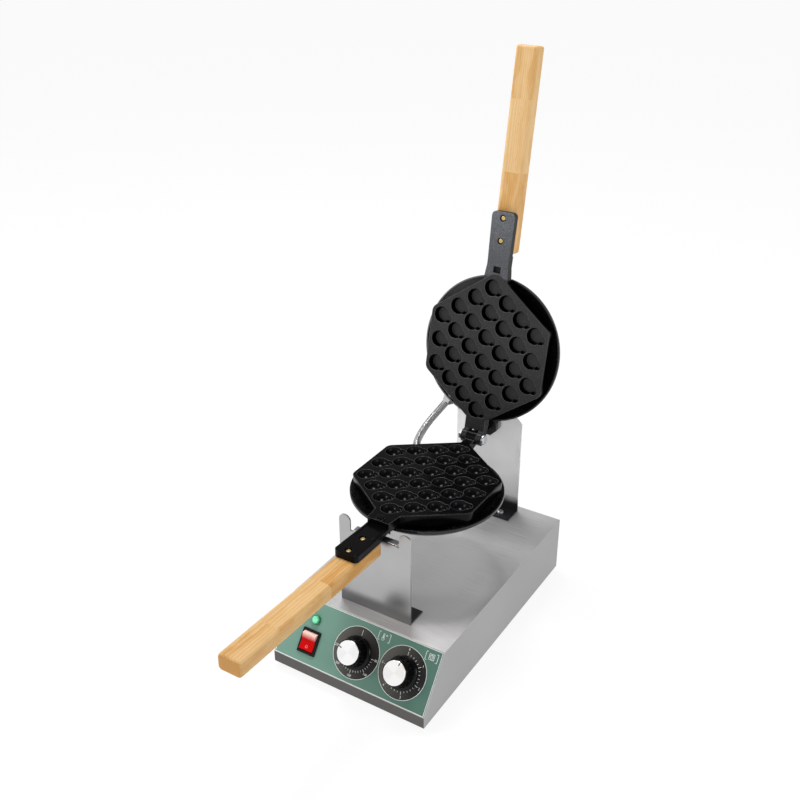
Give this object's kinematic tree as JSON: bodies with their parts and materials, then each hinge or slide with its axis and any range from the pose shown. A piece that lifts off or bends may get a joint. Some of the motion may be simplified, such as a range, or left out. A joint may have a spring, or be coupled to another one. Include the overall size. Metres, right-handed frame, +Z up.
{
  "type": "bubble waffle maker",
  "caption": "Electric turning waffle iron for bubble waffles: two hinged hexagonal pans with gourd-shaped cavities, wooden handles, hose and stands on a steel base with a sloping control panel.",
  "frame": {"origin": "centre of the standing outline at floor level, measured without the hose", "axes": "+X to the right seen from the control panel, +Y from the panel to the back, +Z up"},
  "size_m": [0.22, 0.6296, 0.7075],
  "materials": {
    "stainless_brushed": "satin stainless sheet",
    "stainless_polished": "polished stainless sheet",
    "zinc_steel": "bright zinc-plated",
    "nonstick_black": "matt black non-stick coat on cast aluminium",
    "bowl_black": "satin black heat-proof enamel",
    "shaft_black": "satin black",
    "heater_steel": "dull heater tube",
    "foot_rubber": "matt",
    "panel_green": "printed plastic film",
    "lamp_green": "clear green",
    "black_gloss": "gloss",
    "rocker_red": "translucent red",
    "black_plastic": "moulded",
    "white_plastic": "moulded",
    "cap_aluminium": "spun",
    "brass": "turned",
    "handle_wood": "sanded, pale",
    "hose_steel": "bright corrugated tube"
  },
  "bodies": {
    "base": {"base_shell": "stainless_brushed", "bottom_plate": "stainless_brushed", "bottom_screws": "zinc_steel", "rubber_feet": "foot_rubber", "foot_screws": "zinc_steel", "panel_overlay": "panel_green", "lamp_lens": "lamp_green", "lamp_nut": "black_plastic", "rocker_housing": "black_gloss", "thermostat_body": "zinc_steel", "timer_body": "black_plastic", "terminal_block": "white_plastic", "inlet_gland": "black_plastic", "inlet_nut": "black_plastic", "front_stand": "stainless_polished", "front_stand_screws": "zinc_steel", "front_stand_nuts": "zinc_steel", "rear_stand": "stainless_polished", "rear_stand_screws": "zinc_steel", "rear_stand_nuts": "zinc_steel", "pivot_bush": "brass"},
    "lower_pan": {"lower_plate": "nonstick_black", "lower_bowl": "bowl_black", "lower_heater": "heater_steel", "lower_cover_screws": "zinc_steel", "lower_hose_gland": "zinc_steel", "lower_handle": "handle_wood", "lower_handle_screws": "brass", "turning_shaft": "shaft_black", "shaft_washer": "zinc_steel", "shaft_nut": "zinc_steel", "hinge_bolt": "zinc_steel", "hinge_nut": "zinc_steel", "hose": "hose_steel"},
    "upper_pan": {"upper_plate": "nonstick_black", "upper_bowl": "bowl_black", "upper_heater": "heater_steel", "upper_cover_screws": "zinc_steel", "upper_hose_gland": "zinc_steel", "upper_handle": "handle_wood", "upper_handle_screws": "brass"},
    "temperature_dial": {"temperature_knob": "black_plastic", "temperature_knob_cap": "cap_aluminium", "thermostat_spindle": "zinc_steel"},
    "timer_dial": {"timer_knob": "black_plastic", "timer_knob_cap": "cap_aluminium", "timer_spindle": "zinc_steel"},
    "switch_rocker": {"rocker": "rocker_red"}
  },
  "joints": [
    {"name": "pan_turn", "type": "hinge", "parent": "base", "child": "lower_pan", "pos_m": [0, 0.18899, 0.216], "axis": [0, 1, 0], "range_deg": [-90, 90]},
    {"name": "pan_hinge", "type": "hinge", "parent": "lower_pan", "child": "upper_pan", "pos_m": [0, 0.18899, 0.216], "axis": [1, 0, 0], "range_deg": [0, 102.5], "deforming": ["hose"]},
    {"name": "temperature_turn", "type": "hinge", "parent": "base", "child": "temperature_dial", "pos_m": [0.0004, -0.09673, 0.05304], "axis": [0, -0.8, 0.6], "range_deg": [-15, 285]},
    {"name": "timer_turn", "type": "hinge", "parent": "base", "child": "timer_dial", "pos_m": [0.0662, -0.09673, 0.05304], "axis": [0, -0.8, 0.6], "range_deg": [-260, 15]},
    {"name": "rocker_tilt", "type": "hinge", "parent": "base", "child": "switch_rocker", "pos_m": [-0.066, -0.10229, 0.04396], "axis": [-1, 0, 0], "range_deg": [0, 16]}
  ]
}
